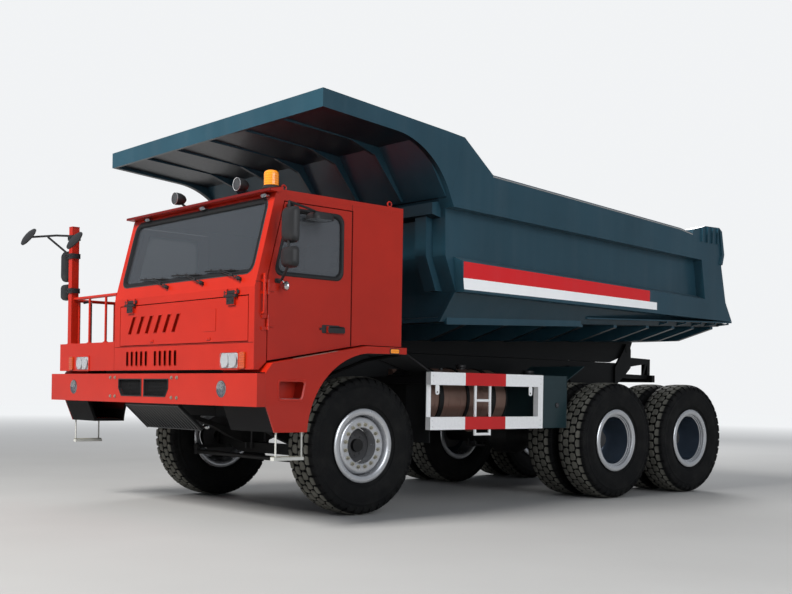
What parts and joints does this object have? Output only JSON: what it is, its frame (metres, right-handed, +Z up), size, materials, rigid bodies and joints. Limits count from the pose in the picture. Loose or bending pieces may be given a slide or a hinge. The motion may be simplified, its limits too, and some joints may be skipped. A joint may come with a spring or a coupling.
{
  "type": "mining dump truck",
  "caption": "Wide-body mining dump truck with an offset cab, a walkway deck and a canopied steel tipping body; doors, front hatch, steering, wheels and hoist move.",
  "frame": {"origin": "on the ground below the middle of the overall box", "axes": "+X to the vehicle's left, +Y to its rear, +Z up"},
  "size_m": [4.32, 7.851, 3.8298],
  "materials": {
    "amber_lens": "gloss",
    "bed_paint": "satin",
    "black_plastic": "matte",
    "cab_paint": "gloss",
    "chrome": "polished",
    "frame_paint": "satin",
    "glass": "clear",
    "interior": "matte",
    "lamp_glass": "clear",
    "machinery": "rough",
    "oil_paint": "satin",
    "red_lens": "gloss",
    "rim_paint": "satin",
    "seat_cloth": "woven",
    "tank_paint": "gloss",
    "tyre": "matte",
    "white_paint": "gloss"
  },
  "bodies": {
    "chassis": {"amber_lamps": "amber_lens", "battery_box": "frame_paint", "bogie_springs": "machinery", "bumper": "cab_paint", "cab_floor": "cab_paint", "cab_glazing": "glass", "cab_roof": "cab_paint", "cab_shell": "cab_paint", "dashboard": "interior", "deck": "cab_paint", "deck_railing": "cab_paint", "drive_axles": "machinery", "driveline": "machinery", "engine": "machinery", "engine_tunnel": "cab_paint", "fender_left": "cab_paint", "fender_right": "cab_paint", "frame": "frame_paint", "front_axle": "machinery", "front_lamps": "lamp_glass", "fuel_tank": "tank_paint", "mast_mirrors": "black_plastic", "mudguard_left": "black_plastic", "mudguard_right": "black_plastic", "oil_tank": "oil_paint", "radiator_guard": "frame_paint", "seats": "seat_cloth", "tail_lamps": "red_lens", "tank_guards": "white_paint"},
    "door_left": {"door_left": "cab_paint", "door_glass_left": "glass", "side_mirrors": "black_plastic"},
    "door_right": {"door_right": "cab_paint", "door_glass_right": "glass"},
    "front_hatch": {"front_hatch": "cab_paint"},
    "knuckle_left": {"knuckle_left": "machinery"},
    "knuckle_right": {"knuckle_right": "machinery"},
    "tie_rod": {"tie_rod": "machinery"},
    "wheel_front_left": {"rim_front_left": "rim_paint", "tyre_front_left": "tyre"},
    "wheel_front_right": {"rim_front_right": "rim_paint", "tyre_front_right": "tyre"},
    "wheels_mid_left": {"rims_mid_left": "rim_paint", "tyres_mid_left": "tyre"},
    "wheels_mid_right": {"rims_mid_right": "rim_paint", "tyres_mid_right": "tyre"},
    "wheels_rear_left": {"rims_rear_left": "rim_paint", "tyres_rear_left": "tyre"},
    "wheels_rear_right": {"rims_rear_right": "rim_paint", "tyres_rear_right": "tyre"},
    "bed": {"bed_floor": "bed_paint", "bed_side_left": "bed_paint", "bed_side_right": "bed_paint", "bed_front_wall": "bed_paint", "bed_canopy": "bed_paint", "bed_subframe": "bed_paint", "bed_outriggers": "bed_paint"},
    "hoist_barrels": {"hoist_barrels": "frame_paint"},
    "hoist_rods": {"hoist_rods": "chrome"}
  },
  "joints": [
    {"name": "door_left_swing", "type": "hinge", "parent": "chassis", "child": "door_left", "pos_m": [1.886, -3.4388, 1.9], "axis": [0, 0, -1], "range_deg": [0, 70]},
    {"name": "door_right_swing", "type": "hinge", "parent": "chassis", "child": "door_right", "pos_m": [-0.596, -3.4388, 1.9], "axis": [0, 0, 1], "range_deg": [0, 70]},
    {"name": "front_hatch_lift", "type": "hinge", "parent": "chassis", "child": "front_hatch", "pos_m": [0.65, -3.5808, 1.994], "axis": [-1, 0, 0], "range_deg": [0, 80]},
    {"name": "steer_left", "type": "hinge", "parent": "chassis", "child": "knuckle_left", "pos_m": [0.98, -1.9648, 0.67], "axis": [0, 0, 1], "range_deg": [-30, 30]},
    {"name": "steer_right", "type": "hinge", "parent": "chassis", "child": "knuckle_right", "pos_m": [-0.98, -1.9648, 0.67], "axis": [0, 0, 1], "range_deg": [-30, 30]},
    {"name": "tie_rod_swing", "type": "hinge", "parent": "knuckle_left", "child": "tie_rod", "pos_m": [0.98, -2.3448, 0.6], "axis": [0, 0, 1], "range_deg": [-30, 30]},
    {"name": "wheel_spin_front_left", "type": "hinge", "parent": "knuckle_left", "child": "wheel_front_left", "pos_m": [1.24, -1.9648, 0.67], "axis": [1, 0, 0], "continuous": true},
    {"name": "wheel_spin_front_right", "type": "hinge", "parent": "knuckle_right", "child": "wheel_front_right", "pos_m": [-1.24, -1.9648, 0.67], "axis": [1, 0, 0], "continuous": true},
    {"name": "wheel_spin_mid_left", "type": "hinge", "parent": "chassis", "child": "wheels_mid_left", "pos_m": [1.28, 1.6352, 0.67], "axis": [1, 0, 0], "continuous": true},
    {"name": "wheel_spin_mid_right", "type": "hinge", "parent": "chassis", "child": "wheels_mid_right", "pos_m": [-1.28, 1.6352, 0.67], "axis": [1, 0, 0], "continuous": true},
    {"name": "wheel_spin_rear_left", "type": "hinge", "parent": "chassis", "child": "wheels_rear_left", "pos_m": [1.28, 3.1352, 0.67], "axis": [1, 0, 0], "continuous": true},
    {"name": "wheel_spin_rear_right", "type": "hinge", "parent": "chassis", "child": "wheels_rear_right", "pos_m": [-1.28, 3.1352, 0.67], "axis": [1, 0, 0], "continuous": true},
    {"name": "bed_tip", "type": "hinge", "parent": "chassis", "child": "bed", "pos_m": [0, 3.3352, 1.8], "axis": [-1, 0, 0], "range_deg": [0, 45]},
    {"name": "hoist_swing", "type": "hinge", "parent": "chassis", "child": "hoist_barrels", "pos_m": [0, -0.0648, 1.29], "axis": [1, 0, 0], "range_deg": [0, 15.37]},
    {"name": "hoist_stroke", "type": "slide", "parent": "hoist_barrels", "child": "hoist_rods", "axis": [0, 0.9651, 0.262], "range_m": [0, 0.755]}
  ],
  "couplings": [
    {"joint": "steer_right", "follows": "steer_left", "ratio": 1},
    {"joint": "tie_rod_swing", "follows": "steer_left", "ratio": -1},
    {"joint": "hoist_swing", "follows": "bed_tip", "ratio": 0.33483},
    {"joint": "hoist_stroke", "follows": "bed_tip", "m_per_rad": 0.94859}
  ]
}
